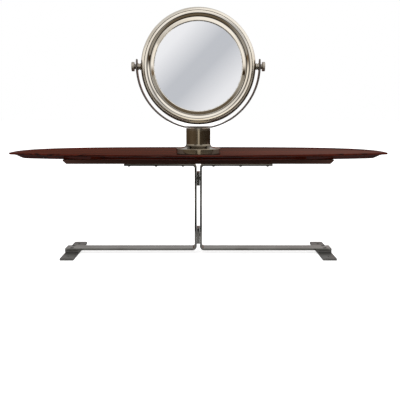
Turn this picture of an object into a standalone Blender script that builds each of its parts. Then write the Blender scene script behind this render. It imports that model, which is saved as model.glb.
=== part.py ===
"""Extendable shaving mirror: a round tilting mirror in a yoke, on a telescopic pedestal.

The pedestal stands on a long wooden shelf, and a bracket of bent steel bars carries the shelf.
Frame: +X to the right, -Y to the front, +Z up, feet on Z = 0. All lengths are in metres.
Positions inside an assembly are measured from the stem's axis, which an empty holds at STEM_Y.
"""

import math

import bmesh
import bpy

MM = 0.001
GAP = 0.3 * MM  # left between pieces that touch

# Facets round a full turn
WIDE = 48
MEDIUM = 36
SMALL = 20
TINY = 10

# Where the stem, the pedestal and the mirror stand in depth
STEM_Y = -62 * MM

# Bracket of flat bar
BAR_WIDTH = 32 * MM
BAR_THICKNESS = 5 * MM
BAR_BEND = 7.5 * MM  # radius of the bar's middle line
STEM_GAP = 7.5 * MM  # between the two bars of the stem
BASE_REACH = 320 * MM
FLANGE_REACH = 174 * MM
UPPER_SPACER = (166.6 * MM, 198.3 * MM)
LOWER_SPACER = (26 * MM, 64.5 * MM)
RIVET_RADIUS = 2.5 * MM
RIVET_HEAD = 4.2 * MM
RIVET_SPREAD = 8 * MM

# Feet
FOOT_WIDTH = 32 * MM
FOOT_FRONT = -70 * MM
FOOT_BACK = 94 * MM
FOOT_THICKNESS = 5 * MM
BLOCK_THICKNESS = 4.7 * MM
FOOT_CORNER = 6 * MM
FOOT_X = BASE_REACH - FOOT_WIDTH / 2
FOOT_SCREW_SPREAD = 10 * MM
FIXING_HOLE_BACK = 70 * MM
FIXING_HOLE_FRONT = -50 * MM

# Heights of the stack from the floor up
BAR_BOTTOM = FOOT_THICKNESS + BLOCK_THICKNESS + 2 * GAP
BATTEN_BOTTOM = 218.5 * MM
BATTEN_THICKNESS = 10.2 * MM
SHELF_BOTTOM = BATTEN_BOTTOM + BATTEN_THICKNESS + GAP
SHELF_THICKNESS = 14 * MM
SHELF_TOP = SHELF_BOTTOM + SHELF_THICKNESS
TRAY_DEPTH = 1.5 * MM

# Shelf outline, seen from above
SHELF_HALF_LENGTH = 450 * MM
SHELF_FRONT = -61 * MM
SHELF_BACK = 194 * MM
SHELF_TIP_Y = 10 * MM
SHELF_BACK_POWER = 3.0  # of the superellipse that the back edge follows
SHELF_FRONT_POWER = 0.85  # of the bow that the front edge follows; 1 is a parabola
LIP_WIDTH = 6 * MM
BATTEN_HALF_LENGTH = 316 * MM
BATTEN_DEPTH = 40 * MM
FLANGE_SCREW_X = (36 * MM, 100 * MM, 164 * MM)

# Pedestal and telescopic post
TUBE_RADIUS = 28.5 * MM
TUBE_BORE = 25 * MM
FLANGE_RADIUS = 52 * MM
GASKET_THICKNESS = 1 * MM
PEDESTAL_BOTTOM = SHELF_TOP - TRAY_DEPTH + GASKET_THICKNESS + 2 * GAP
PEDESTAL_TOP = 297.4 * MM
FLANGE_HEIGHT = 11.4 * MM
PEDESTAL_SCREW_CIRCLE = 40 * MM
POST_RADIUS = 15 * MM
POST_BORE = 11 * MM
POST_NECK = 13 * MM
POST_BOTTOM = PEDESTAL_BOTTOM + 3.4 * MM
RING_BOTTOM = POST_BOTTOM + 2.5 * MM
RING_HEIGHT = 6 * MM
BUSH_HEIGHT = 13 * MM
CAP_THICKNESS = 2.9 * MM
CAP_TOP = PEDESTAL_TOP + GAP + CAP_THICKNESS
WASHER_THICKNESS = 0.6 * MM
SWIVEL_SCREW_RADIUS = 3 * MM

# Yoke
YOKE_RADIUS = 141 * MM
YOKE_THICKNESS = 3.2 * MM
YOKE_WIDTH = 24 * MM
YOKE_TIP = 17.5 * MM  # the strip's rounded end above the pivot
YOKE_BOTTOM = CAP_TOP + WASHER_THICKNESS + 2 * GAP
PIVOT_Z = 441 * MM

# Mirror head, measured from the pivot: forward along its face, outward along its radius
HEAD_RADIUS = 131.7 * MM
HEAD_FRONT = 12 * MM
HEAD_BACK = -11 * MM
SHOULDER_INNER = 123.6 * MM
SHOULDER_DEPTH = 6 * MM
HEAD_BORE = 124 * MM
WEB_INNER = 112 * MM
GLASS_RADIUS = 111 * MM
GLASS_SEEN = 100.8 * MM
GLASS_BACK = 2 * MM
GLASS_THICKNESS = 4 * MM
COVE_RADIUS = 109.5 * MM
BACK_SCREW_CIRCLE = 117.6 * MM
BACK_SCREW_RADIUS = 1.4 * MM

# Pivots, measured outward from the middle of the head
BOSS_RADIUS = 7.6 * MM
STUD_RADIUS = 2.7 * MM
STUD_INNER = 125.6 * MM
STUD_OUTER = 150 * MM
KNOB_RADIUS = 10.6 * MM
KNOB_NECK = 5.5 * MM
KNOB_THICKNESS = 6.3 * MM
KNOB_OUTER = 152.9 * MM

NICKEL = ("nickel", (0.63, 0.57, 0.48), 0.22, 1.0)
STEEL = ("bracket_steel", (0.36, 0.35, 0.32), 0.42, 1.0)
DARK_STEEL = ("screw_steel", (0.12, 0.12, 0.12), 0.4, 1.0)
ROSEWOOD = ("rosewood", (0.19, 0.055, 0.035), 0.35, 0.0)
DARK_WOOD = ("dark_wood", (0.05, 0.012, 0.008), 0.5, 0.0)
SILVERED_GLASS = ("silvered_glass", (0.9, 0.92, 0.93), 0.03, 1.0)
FELT = ("felt", (0.06, 0.09, 0.06), 0.95, 0.0)
NYLON = ("nylon", (0.8, 0.79, 0.74), 0.5, 0.0)
FIBRE = ("red_fibre", (0.35, 0.08, 0.05), 0.8, 0.0)


def clear_scene():
    for obj in list(bpy.data.objects):
        bpy.data.objects.remove(obj, do_unlink=True)


def new_collection(name):
    collection = bpy.data.collections.new(name)
    bpy.context.scene.collection.children.link(collection)
    return collection


def material(finish):
    name, colour, roughness, metallic = finish
    found = bpy.data.materials.get(name)
    if found:
        return found
    made = bpy.data.materials.new(name)
    made.use_nodes = True
    shader = made.node_tree.nodes["Principled BSDF"]
    shader.inputs["Base Color"].default_value = (*colour, 1.0)
    shader.inputs["Roughness"].default_value = roughness
    shader.inputs["Metallic"].default_value = metallic
    return made


def empty(name, parent=None, location=(0, 0, 0), rotation=(0, 0, 0)):
    made = bpy.data.objects.new(name, None)
    made.empty_display_size = 0.02
    made.parent = parent
    made.location = location
    made.rotation_euler = rotation
    PARTS.objects.link(made)
    return made


def add_part(name, mesh, finish, parent, location=(0, 0, 0), rotation=(0, 0, 0)):
    """One sub-part: a named object with its own material slot, placed under an empty."""
    mesh.name = name
    mesh.materials.clear()
    mesh.materials.append(material(finish))
    made = bpy.data.objects.new(name, mesh)
    made.parent = parent
    made.location = location
    made.rotation_euler = rotation
    PARTS.objects.link(made)
    return made


def add_cutter(name, mesh, parent, location=(0, 0, 0), rotation=(0, 0, 0)):
    made = bpy.data.objects.new(name, mesh)
    made.parent = parent
    made.location = location
    made.rotation_euler = rotation
    made.hide_render = True
    made.display_type = "WIRE"
    CUTTERS.objects.link(made)
    return made


def cut(part, cutters):
    for cutter in cutters:
        boolean = part.modifiers.new("cut_" + cutter.name, "BOOLEAN")
        boolean.operation = "DIFFERENCE"
        boolean.solver = "EXACT"
        boolean.object = cutter


def evaluated_mesh(obj):
    """The mesh that an object's modifiers or curve settings make, with the object removed."""
    PARTS.objects.link(obj)
    depsgraph = bpy.context.evaluated_depsgraph_get()
    mesh = bpy.data.meshes.new_from_object(obj.evaluated_get(depsgraph))
    bpy.data.objects.remove(obj, do_unlink=True)
    return mesh


def box_mesh(width, depth, height, chamfer=0.0):
    bm = bmesh.new()
    bmesh.ops.create_cube(bm, size=1.0)
    bmesh.ops.scale(bm, vec=(width, depth, height), verts=bm.verts)
    if chamfer:
        bmesh.ops.bevel(bm, geom=list(bm.edges), offset=chamfer, segments=1, affect="EDGES")
    mesh = bpy.data.meshes.new("box")
    bm.to_mesh(mesh)
    bm.free()
    return mesh


def turned_mesh(profile, steps=SMALL, ring=False):
    """A profile of (radius, height) turned about Z; it runs down its outer side.

    A solid's profile starts and ends on the axis, and a ring's profile closes on itself.
    """
    mesh = bpy.data.meshes.new("profile")
    points = [(radius, 0.0, height) for radius, height in profile]
    edges = [(i, i + 1) for i in range(len(points) - 1)]
    if ring:
        edges.append((len(points) - 1, 0))
    mesh.from_pydata(points, edges, [])
    holder = bpy.data.objects.new("turned", mesh)
    screw = holder.modifiers.new("turn", "SCREW")
    screw.axis = "Z"
    screw.angle = 2 * math.pi
    screw.steps = steps
    screw.render_steps = steps
    screw.use_merge_vertices = True
    screw.merge_threshold = 0.00001
    result = evaluated_mesh(holder)
    result.shade_smooth()
    result.set_sharp_from_angle(angle=math.radians(35))
    return result


def slab_mesh(outline, thickness):
    """A flat outline in local XY, extruded equally up and down."""
    curve = bpy.data.curves.new("outline", "CURVE")
    curve.dimensions = "2D"
    curve.fill_mode = "BOTH"
    curve.extrude = thickness / 2
    spline = curve.splines.new("POLY")
    spline.points.add(len(outline) - 1)
    for point, (x, y) in zip(spline.points, outline):
        point.co = (x, y, 0.0, 1.0)
    spline.use_cyclic_u = True
    mesh = evaluated_mesh(bpy.data.objects.new("slab", curve))
    bm = bmesh.new()
    bm.from_mesh(mesh)
    bmesh.ops.remove_doubles(bm, verts=bm.verts, dist=0.00001)
    bmesh.ops.recalc_face_normals(bm, faces=bm.faces)
    bm.to_mesh(mesh)
    bm.free()
    return mesh


def ribbon_mesh(stations, thickness):
    """A strip bent in local XZ from stations of (x, z, half width), given its thickness."""
    bm = bmesh.new()
    front = [bm.verts.new((x, -half, z)) for x, z, half in stations]
    back = [bm.verts.new((x, half, z)) for x, z, half in stations]
    for i in range(len(stations) - 1):
        bm.faces.new((front[i], front[i + 1], back[i + 1], back[i]))
    mesh = bpy.data.meshes.new("ribbon")
    bm.to_mesh(mesh)
    bm.free()
    holder = bpy.data.objects.new("ribbon", mesh)
    solid = holder.modifiers.new("thickness", "SOLIDIFY")
    solid.thickness = thickness
    solid.offset = 0.0
    solid.use_even_offset = True
    result = evaluated_mesh(holder)
    result.shade_smooth()
    result.set_sharp_from_angle(angle=math.radians(35))
    return result


def loft_mesh(rings):
    """A closed skin over rings of points that all have the same count, first and last capped."""
    bm = bmesh.new()
    loops = []
    for ring in rings:
        verts = [bm.verts.new(point) for point in ring]
        loops.append([bm.edges.new((verts[i - 1], verts[i])) for i in range(len(verts))])
    for lower, upper in zip(loops, loops[1:]):
        bmesh.ops.bridge_loops(bm, edges=lower + upper)
    for loop in (loops[0], loops[-1]):
        bmesh.ops.contextual_create(bm, geom=loop)
    bmesh.ops.recalc_face_normals(bm, faces=bm.faces)
    mesh = bpy.data.meshes.new("loft")
    bm.to_mesh(mesh)
    bm.free()
    return mesh


def arc(centre_x, centre_z, radius, start, end, steps):
    """Points on an arc from one angle to another, in degrees."""
    angles = [math.radians(start + (end - start) * i / steps) for i in range(steps + 1)]
    return [(centre_x + radius * math.cos(a), centre_z + radius * math.sin(a)) for a in angles]


def cylinder_profile(radius, bottom, top):
    return [(0.0, top), (radius, top), (radius, bottom), (0.0, bottom)]


def tube_profile(inner, outer, bottom, top):
    return [(inner, top), (outer, top), (outer, bottom), (inner, bottom)]


def countersunk_profile(head, shank, length):
    """A flat-headed screw: its head's face is at height 0 and its shank hangs below."""
    return [(0.0, 0.0), (head, 0.0), (shank, shank - head), (shank, -length), (0.0, -length)]


def countersunk_hole_profile(head, shank, above, below):
    """Room for a flat-headed screw whose head's face is at height 0, open above and below."""
    sides = [(head, above), (head, 0.0), (shank, shank - head), (shank, -below)]
    return [(0.0, above), *sides, (0.0, -below)]


def round_head_profile(head, head_height, shank, length):
    """A round-headed screw: its head stands on height 0 and its shank hangs below."""
    dome = [(head * math.cos(a), head_height * math.sin(a)) for a in (1.1, 0.6)]
    return [(0.0, head_height), *dome, (head, 0.0), (shank, 0.0), (shank, -length), (0.0, -length)]


def mirrored_sides():
    return (("left", -1), ("right", 1))


# ---------------------------------------------------------------- bracket


def bar_stations(side):
    """Middle line of one bent bar: base, stem, then the flange under the shelf."""
    middle = STEM_GAP / 2 + BAR_THICKNESS / 2
    low = BAR_BOTTOM + BAR_THICKNESS / 2
    high = BATTEN_BOTTOM - GAP - BAR_THICKNESS / 2
    bend_x = middle + BAR_BEND
    line = [(BASE_REACH, low)]
    line += arc(bend_x, low + BAR_BEND, BAR_BEND, -90, -180, 6)
    line += arc(bend_x, high - BAR_BEND, BAR_BEND, 180, 90, 6)
    line += [(FLANGE_REACH, high)]
    return [(side * x, z, BAR_WIDTH / 2) for x, z in line]


def spacer(name, span, stem):
    low, high = span
    mesh = box_mesh(STEM_GAP - 2 * GAP, BAR_WIDTH - 2 * MM, high - low, chamfer=0.5 * MM)
    return add_part(name, mesh, STEEL, stem, (0, 0, (low + high) / 2))


def rivet_profile(clearance):
    """A pin with a countersunk head at each end, lying between the stem's outer faces."""
    end = STEM_GAP / 2 + BAR_THICKNESS - 0.2 * MM + clearance
    head = RIVET_HEAD + clearance
    shank = RIVET_RADIUS + clearance
    taper = head - shank
    upper = [(0.0, end), (head, end), (shank, end - taper)]
    return upper + [(radius, -height) for radius, height in reversed(upper)]


def stem_rivets(stem, bars, upper, lower):
    """Two rivets through each spacer hold the bars together."""
    number = 0
    for block, (low, high) in ((upper, UPPER_SPACER), (lower, LOWER_SPACER)):
        for y in (-RIVET_SPREAD, RIVET_SPREAD):
            number += 1
            place = (0, y, (low + high) / 2)
            turn = (0, math.pi / 2, 0)
            mesh = turned_mesh(rivet_profile(0.0), steps=TINY)
            add_part(f"stem_rivet_{number}", mesh, STEEL, stem, place, turn)
            hole = turned_mesh(rivet_profile(GAP), steps=TINY)
            cutter = add_cutter(f"rivet_hole_{number}", hole, stem, place, turn)
            for piece in (*bars, block):
                cut(piece, [cutter])


def foot_outline():
    """Square front corners and rounded back corners, in local XY."""
    half = FOOT_WIDTH / 2
    inner = half - FOOT_CORNER
    back = FOOT_BACK - FOOT_CORNER
    outline = [(-half, FOOT_FRONT), (half, FOOT_FRONT)]
    outline += arc(inner, back, FOOT_CORNER, 0, 90, 5)
    outline += arc(-inner, back, FOOT_CORNER, 90, 180, 5)
    return outline


def fixing_holes(side, x, stem):
    """A countersunk hole behind the bar and a plain one in front fasten the foot down."""
    profile = countersunk_hole_profile(5 * MM, 2.7 * MM, 1 * MM, 8 * MM)
    sunk = turned_mesh(profile, steps=TINY)
    plain = turned_mesh(cylinder_profile(2.2 * MM, -8 * MM, 1 * MM), steps=TINY)
    return [
        add_cutter(f"back_hole_{side}", sunk, stem, (x, FIXING_HOLE_BACK, FOOT_THICKNESS)),
        add_cutter(f"front_hole_{side}", plain, stem, (x, FIXING_HOLE_FRONT, FOOT_THICKNESS)),
    ]


def foot(side, sign, bar, stem):
    x = sign * FOOT_X
    plate = add_part(
        f"foot_plate_{side}",
        slab_mesh(foot_outline(), FOOT_THICKNESS),
        STEEL,
        stem,
        (x, 0, FOOT_THICKNESS / 2),
    )
    cut(plate, fixing_holes(side, x, stem))
    block = add_part(
        f"foot_block_{side}",
        box_mesh(FOOT_WIDTH, BAR_WIDTH, BLOCK_THICKNESS),
        STEEL,
        stem,
        (x, 0, FOOT_THICKNESS + GAP + BLOCK_THICKNESS / 2),
    )
    top = BAR_BOTTOM + BAR_THICKNESS
    length = top - 0.6 * MM
    for place, y in (("front", -FOOT_SCREW_SPREAD), ("back", FOOT_SCREW_SPREAD)):
        profile = countersunk_profile(4.4 * MM, 2.2 * MM, length)
        mesh = turned_mesh(profile, steps=TINY)
        add_part(f"foot_screw_{side}_{place}", mesh, DARK_STEEL, stem, (x, y, top - GAP))
        profile = countersunk_hole_profile(4.7 * MM, 2.5 * MM, 2 * MM, 20 * MM)
        mesh = turned_mesh(profile, steps=TINY)
        cutter = add_cutter(f"foot_hole_{side}_{place}", mesh, stem, (x, y, top - GAP))
        for piece in (bar, block, plate):
            cut(piece, [cutter])


def bracket(stem):
    bars = []
    for side, sign in mirrored_sides():
        mesh = ribbon_mesh(bar_stations(sign), BAR_THICKNESS)
        bars.append(add_part(f"bracket_bar_{side}", mesh, STEEL, stem))
    upper = spacer("upper_spacer", UPPER_SPACER, stem)
    lower = spacer("lower_spacer", LOWER_SPACER, stem)
    stem_rivets(stem, bars, upper, lower)
    for (side, sign), bar in zip(mirrored_sides(), bars):
        foot(side, sign, bar, stem)
    return bars


# ---------------------------------------------------------------- shelf


def shelf_outline(inset, height):
    """The shelf's outline moved inward: a shallow bow in front, a superellipse behind."""
    half = SHELF_HALF_LENGTH - 1.8 * inset
    front = SHELF_TIP_Y - SHELF_FRONT - inset
    back = SHELF_BACK - SHELF_TIP_Y - inset
    power = 2 / SHELF_BACK_POWER
    points = []
    for i in range(32):
        a = math.pi * i / 32
        reach = math.copysign(abs(math.cos(a)) ** power, math.cos(a))
        points.append((half * reach, SHELF_TIP_Y + back * math.sin(a) ** power, height))
    for i in range(20):
        u = -math.cos(math.pi * i / 20)
        bow = (1 - u * u) ** SHELF_FRONT_POWER
        points.append((half * u, SHELF_TIP_Y - front * bow, height))
    return points


def shelf_board(stem):
    """A shallow tray: a thin lip all round, and an underside cut back beneath it."""
    levels = [
        (22 * MM, 0.0),
        (18 * MM, 1.0 * MM),
        (9 * MM, 8.4 * MM),
        (0.8 * MM, 9.4 * MM),
        (0.0, 10.2 * MM),
        (0.0, SHELF_THICKNESS - 0.6 * MM),
        (0.6 * MM, SHELF_THICKNESS),
        (LIP_WIDTH - 0.8 * MM, SHELF_THICKNESS),
        (LIP_WIDTH, SHELF_THICKNESS - TRAY_DEPTH),
    ]
    rings = [shelf_outline(inset, height) for inset, height in levels]
    return add_part("shelf_board", loft_mesh(rings), ROSEWOOD, stem, (0, 0, SHELF_BOTTOM))


def shelf_batten(stem):
    """A batten with cut-back ends, glued and screwed along the shelf's underside."""
    end = BATTEN_HALF_LENGTH
    cut_back = 8 * MM
    half = BATTEN_THICKNESS / 2
    side = [(end - cut_back, -half), (end, half - 3 * MM), (end, half)]
    outline = side + [(-x, y) for x, y in reversed(side)]
    mesh = slab_mesh(outline, BATTEN_DEPTH)
    place = (0, 0, BATTEN_BOTTOM + half)
    return add_part("shelf_batten", mesh, DARK_WOOD, stem, place, (math.pi / 2, 0, 0))


def flange_screws(stem, bars, batten, board):
    """Screws from below, through each flange and the batten into the shelf."""
    bearing = BATTEN_BOTTOM - GAP - BAR_THICKNESS - GAP
    length = SHELF_BOTTOM + 9 * MM - bearing
    for (side, sign), bar in zip(mirrored_sides(), bars):
        for number, x in enumerate(FLANGE_SCREW_X, 1):
            name = f"{side}_{number}"
            place = (sign * x, 0, bearing)
            profile = round_head_profile(3.8 * MM, 3.2 * MM, 1.9 * MM, length)
            mesh = turned_mesh(profile, steps=TINY)
            turn = (math.pi, 0, 0)
            add_part(f"flange_screw_{name}", mesh, DARK_STEEL, stem, place, turn)
            hole = turned_mesh(cylinder_profile(2.2 * MM, -1 * MM, length + 1 * MM), steps=TINY)
            cutter = add_cutter(f"flange_hole_{name}", hole, stem, place)
            for piece in (bar, batten, board):
                cut(piece, [cutter])


# ---------------------------------------------------------------- pedestal and post


def pedestal_profile():
    """Ring profile: straight tube, hollow curve into a slightly coned flange, plain bore."""
    flange_top = PEDESTAL_BOTTOM + FLANGE_HEIGHT
    cove = 8 * MM
    curve = arc(TUBE_RADIUS + cove, flange_top + 2.2 * MM + cove, cove, 180, 262, 6)
    return [
        (TUBE_BORE, PEDESTAL_TOP),
        (TUBE_RADIUS, PEDESTAL_TOP),
        *curve,
        (FLANGE_RADIUS - 0.8 * MM, flange_top),
        (FLANGE_RADIUS, flange_top - 0.8 * MM),
        (FLANGE_RADIUS, PEDESTAL_BOTTOM),
        (TUBE_BORE, PEDESTAL_BOTTOM),
    ]


def pedestal_screws(stem, board, gasket, pedestal):
    """Four screws from under the shelf hold the pedestal down."""
    bearing = SHELF_BOTTOM - GAP
    length = PEDESTAL_BOTTOM + 8 * MM - bearing
    for number in range(4):
        a = math.radians(45 + 90 * number)
        x = PEDESTAL_SCREW_CIRCLE * math.cos(a)
        y = PEDESTAL_SCREW_CIRCLE * math.sin(a)
        profile = round_head_profile(3.6 * MM, 2.4 * MM, 1.9 * MM, length)
        mesh = turned_mesh(profile, steps=TINY)
        name = f"pedestal_screw_{number + 1}"
        add_part(name, mesh, DARK_STEEL, stem, (x, y, bearing), (math.pi, 0, 0))
        hole = turned_mesh(cylinder_profile(2.2 * MM, -1 * MM, length + 1 * MM), steps=TINY)
        cutter = add_cutter(f"pedestal_hole_{number + 1}", hole, stem, (x, y, bearing))
        for piece in (board, gasket, pedestal):
            cut(piece, [cutter])


def guide_bush(stem, pedestal):
    """A nylon bush at the tube's mouth, held by a grub screw at the back."""
    top = PEDESTAL_TOP - GAP
    low = top - BUSH_HEIGHT
    profile = tube_profile(POST_RADIUS + GAP, TUBE_BORE - GAP, low, top)
    bush = add_part("guide_bush", turned_mesh(profile, ring=True), NYLON, stem)
    place = (0, TUBE_RADIUS, (low + top) / 2)
    turn = (-math.pi / 2, 0, 0)
    screw = turned_mesh(cylinder_profile(1.7 * MM, -8 * MM, -0.4 * MM), steps=TINY)
    add_part("grub_screw", screw, DARK_STEEL, stem, place, turn)
    hole = turned_mesh(cylinder_profile(2.0 * MM, -8.4 * MM, 2 * MM), steps=TINY)
    cutter = add_cutter("grub_hole", hole, stem, place, turn)
    for piece in (bush, pedestal):
        cut(piece, [cutter])


def pedestal_assembly(stem, board):
    floor = SHELF_TOP - TRAY_DEPTH + GAP
    profile = tube_profile(TUBE_BORE, FLANGE_RADIUS - 1.5 * MM, floor, floor + GASKET_THICKNESS)
    gasket = add_part("base_gasket", turned_mesh(profile, ring=True), FELT, stem)
    mesh = turned_mesh(pedestal_profile(), steps=MEDIUM, ring=True)
    pedestal = add_part("pedestal", mesh, NICKEL, stem)
    pedestal_screws(stem, board, gasket, pedestal)
    guide_bush(stem, pedestal)


def post_tube(post):
    """The sliding tube: a solid tapped top, and a neck below for the guide ring."""
    ring_top = RING_BOTTOM + RING_HEIGHT
    groove = (RING_BOTTOM - 1.9 * MM, RING_BOTTOM - 0.3 * MM)
    profile = [
        (SWIVEL_SCREW_RADIUS + GAP, PEDESTAL_TOP),
        (POST_RADIUS, PEDESTAL_TOP),
        (POST_RADIUS, ring_top + GAP),
        (POST_NECK, ring_top + GAP),
        (POST_NECK, groove[1]),
        (POST_NECK - 0.8 * MM, groove[1]),
        (POST_NECK - 0.8 * MM, groove[0]),
        (POST_NECK, groove[0]),
        (POST_NECK, POST_BOTTOM),
        (POST_BORE, POST_BOTTOM),
        (POST_BORE, PEDESTAL_TOP - 12 * MM),
        (SWIVEL_SCREW_RADIUS + GAP, PEDESTAL_TOP - 12 * MM),
    ]
    add_part("post_tube", turned_mesh(profile, ring=True), NICKEL, post)


def guide_ring(post):
    """A nylon ring that slides in the pedestal's bore and stops against the bush."""
    inner = POST_NECK + GAP
    outer = TUBE_BORE - GAP
    profile = tube_profile(inner, outer, RING_BOTTOM, RING_BOTTOM + RING_HEIGHT)
    add_part("guide_ring", turned_mesh(profile, ring=True), NYLON, post)
    low = RING_BOTTOM - 1.6 * MM
    clip = tube_profile(POST_NECK - 0.5 * MM, POST_NECK + 4 * MM, low, low + 1 * MM)
    circlip = add_part("post_circlip", turned_mesh(clip, ring=True), DARK_STEEL, post)
    mouth = box_mesh(8 * MM, 10 * MM, 4 * MM)
    cut(circlip, [add_cutter("circlip_mouth", mouth, post, (0, -POST_NECK - 2 * MM, low))])


def swivel_joint(post):
    """The cap on the post, with the washer and the screw that the yoke turns on."""
    bore = SWIVEL_SCREW_RADIUS + GAP
    cap = tube_profile(bore, TUBE_RADIUS, PEDESTAL_TOP + GAP, CAP_TOP)
    add_part("post_cap", turned_mesh(cap, steps=MEDIUM, ring=True), NICKEL, post)
    low = CAP_TOP + GAP
    washer = tube_profile(bore, 10 * MM, low, low + WASHER_THICKNESS)
    add_part("swivel_washer", turned_mesh(washer, ring=True), NYLON, post)
    top = YOKE_BOTTOM + YOKE_THICKNESS - 0.2 * MM
    screw = countersunk_profile(5.4 * MM, SWIVEL_SCREW_RADIUS, 16 * MM)
    add_part("swivel_screw", turned_mesh(screw), DARK_STEEL, post, (0, 0, top))


def post_assembly(post):
    post_tube(post)
    guide_ring(post)
    swivel_joint(post)


# ---------------------------------------------------------------- yoke


def yoke_stations():
    """Round tip, straight end, arc, flat seat, then the same again on the other side."""
    seat = YOKE_BOTTOM + YOKE_THICKNESS / 2 - PIVOT_Z
    seat_angle = math.degrees(math.asin(-seat / YOKE_RADIUS))
    half = YOKE_WIDTH / 2
    tip = []
    for a in (84, 68, 50, 30, 12):
        height = YOKE_TIP * math.sin(math.radians(a))
        tip.append((YOKE_RADIUS, height, half * math.cos(math.radians(a))))
    bow = [(x, z, half) for x, z in arc(0, 0, YOKE_RADIUS, 0, -seat_angle, 18)]
    right = tip + bow
    return right + [(-x, z, width) for x, z, width in reversed(right)]


def yoke(swivel, head):
    mesh = ribbon_mesh(yoke_stations(), YOKE_THICKNESS)
    strip = add_part("yoke", mesh, NICKEL, swivel, (0, 0, PIVOT_Z - CAP_TOP))
    shank = SWIVEL_SCREW_RADIUS + GAP
    top = YOKE_BOTTOM + YOKE_THICKNESS - CAP_TOP - 0.2 * MM
    profile = countersunk_hole_profile(5.7 * MM, shank, 2 * MM, 8 * MM)
    seat = add_cutter("yoke_seat_hole", turned_mesh(profile), swivel, (0, 0, top))
    reach = YOKE_RADIUS + 10 * MM
    across = turned_mesh(cylinder_profile(STUD_RADIUS + GAP, -reach, reach))
    pivots = add_cutter("yoke_pivot_holes", across, head, (0, 0, 0), (0, math.pi / 2, 0))
    cut(strip, [seat, pivots])


# ---------------------------------------------------------------- mirror head


def rim_profile():
    """The drum: a round shoulder in front, a straight side, and a web inside at the back."""
    shoulder = []
    for a in (90, 68, 46, 24, 0):
        out = (HEAD_RADIUS - SHOULDER_INNER) * math.cos(math.radians(a))
        up = SHOULDER_DEPTH * math.sin(math.radians(a))
        shoulder.append((SHOULDER_INNER + out, HEAD_FRONT - SHOULDER_DEPTH + up))
    return [
        (HEAD_BORE, HEAD_FRONT - 0.6 * MM),
        *shoulder[1:],
        (HEAD_RADIUS, HEAD_BACK + 2 * MM),
        (HEAD_RADIUS - 2 * MM, HEAD_BACK),
        (HEAD_BORE, HEAD_BACK),
        (HEAD_BORE, HEAD_BACK + 2.5 * MM),
        (WEB_INNER, HEAD_BACK + 2.5 * MM),
        (WEB_INNER, HEAD_BACK + 6.5 * MM),
        (HEAD_BORE, HEAD_BACK + 6.5 * MM),
    ]


def bezel_profile():
    """The front ring: a bead by the glass, a hollow, then a flat land out to the drum."""
    bottom = GLASS_BACK - 1.3 * MM
    over_glass = GLASS_BACK + GLASS_THICKNESS + GAP
    edge = HEAD_BORE - 0.7 * MM
    cove_depth = 4 * MM
    cove_half = 6.6 * MM
    hollow = []
    for i in range(6):
        u = 1 - i / 2.5
        fall = cove_depth * (1 - u * u)
        hollow.append((COVE_RADIUS + cove_half * u, HEAD_FRONT - 0.2 * MM - fall))
    return [
        (GLASS_SEEN, over_glass + 1.6 * MM),
        (GLASS_SEEN + 0.8 * MM, HEAD_FRONT - 0.8 * MM),
        *reversed(hollow),
        (COVE_RADIUS + cove_half + 0.5 * MM, HEAD_FRONT),
        (edge - 0.4 * MM, HEAD_FRONT),
        (edge, HEAD_FRONT - 0.4 * MM),
        (edge, bottom),
        (GLASS_RADIUS + 1 * MM, bottom),
        (GLASS_RADIUS + 1 * MM, over_glass),
        (GLASS_SEEN, over_glass),
    ]


def cover_profile():
    """A pressed back cover: a flat flange and a shallow dome behind it."""
    thickness = 2.2 * MM
    front = HEAD_BACK + thickness
    edge = HEAD_BORE - 0.4 * MM
    dome_edge = 110 * MM
    dome_depth = 4 * MM
    dome = [(dome_edge * math.sin(a), math.cos(a)) for a in (0.0, 0.6, 1.1)]
    inner = [(radius, front - dome_depth * fall) for radius, fall in dome]
    outer = [(radius, HEAD_BACK - dome_depth * fall) for radius, fall in reversed(dome)]
    return [*inner, (dome_edge, front), (edge, front), (edge, HEAD_BACK), (dome_edge, HEAD_BACK), *outer]


def head_layers(face):
    """Glass, felt, backing disc, front ring, drum and back cover, as turned pieces."""
    edge = HEAD_BORE - 0.4 * MM
    web_front = HEAD_BACK + 6.5 * MM
    glass = cylinder_profile(GLASS_RADIUS, GLASS_BACK, GLASS_BACK + GLASS_THICKNESS)
    add_part("mirror_glass", turned_mesh(glass, steps=WIDE), SILVERED_GLASS, face)
    felt = cylinder_profile(GLASS_RADIUS, GLASS_BACK - 1.3 * MM, GLASS_BACK - GAP)
    add_part("glass_felt", turned_mesh(felt, steps=WIDE), FELT, face)
    backing = cylinder_profile(edge, web_front + GAP, GLASS_BACK - 1.6 * MM)
    disc = add_part("backing_disc", turned_mesh(backing, steps=WIDE), DARK_WOOD, face)
    bezel = add_part(
        "mirror_bezel", turned_mesh(bezel_profile(), steps=WIDE, ring=True), NICKEL, face
    )
    rim = add_part("mirror_rim", turned_mesh(rim_profile(), steps=WIDE, ring=True), NICKEL, face)
    cover = add_part("back_cover", turned_mesh(cover_profile(), steps=WIDE), NICKEL, face)
    return disc, bezel, rim, cover


def back_screws(face, pieces):
    """Four screws from behind clamp the cover, drum, backing disc and front ring."""
    bearing = HEAD_BACK - GAP
    length = 16 * MM
    for number in range(4):
        a = math.radians(45 + 90 * number)
        x = BACK_SCREW_CIRCLE * math.cos(a)
        y = BACK_SCREW_CIRCLE * math.sin(a)
        profile = round_head_profile(2.8 * MM, 1.8 * MM, BACK_SCREW_RADIUS, length)
        mesh = turned_mesh(profile, steps=TINY)
        name = f"back_screw_{number + 1}"
        add_part(name, mesh, NICKEL, face, (x, y, bearing), (math.pi, 0, 0))
        hole_radius = BACK_SCREW_RADIUS + GAP
        hole = turned_mesh(cylinder_profile(hole_radius, -1 * MM, length + 1 * MM), steps=TINY)
        cutter = add_cutter(f"back_screw_hole_{number + 1}", hole, face, (x, y, bearing))
        for piece in pieces:
            cut(piece, [cutter])


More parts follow.
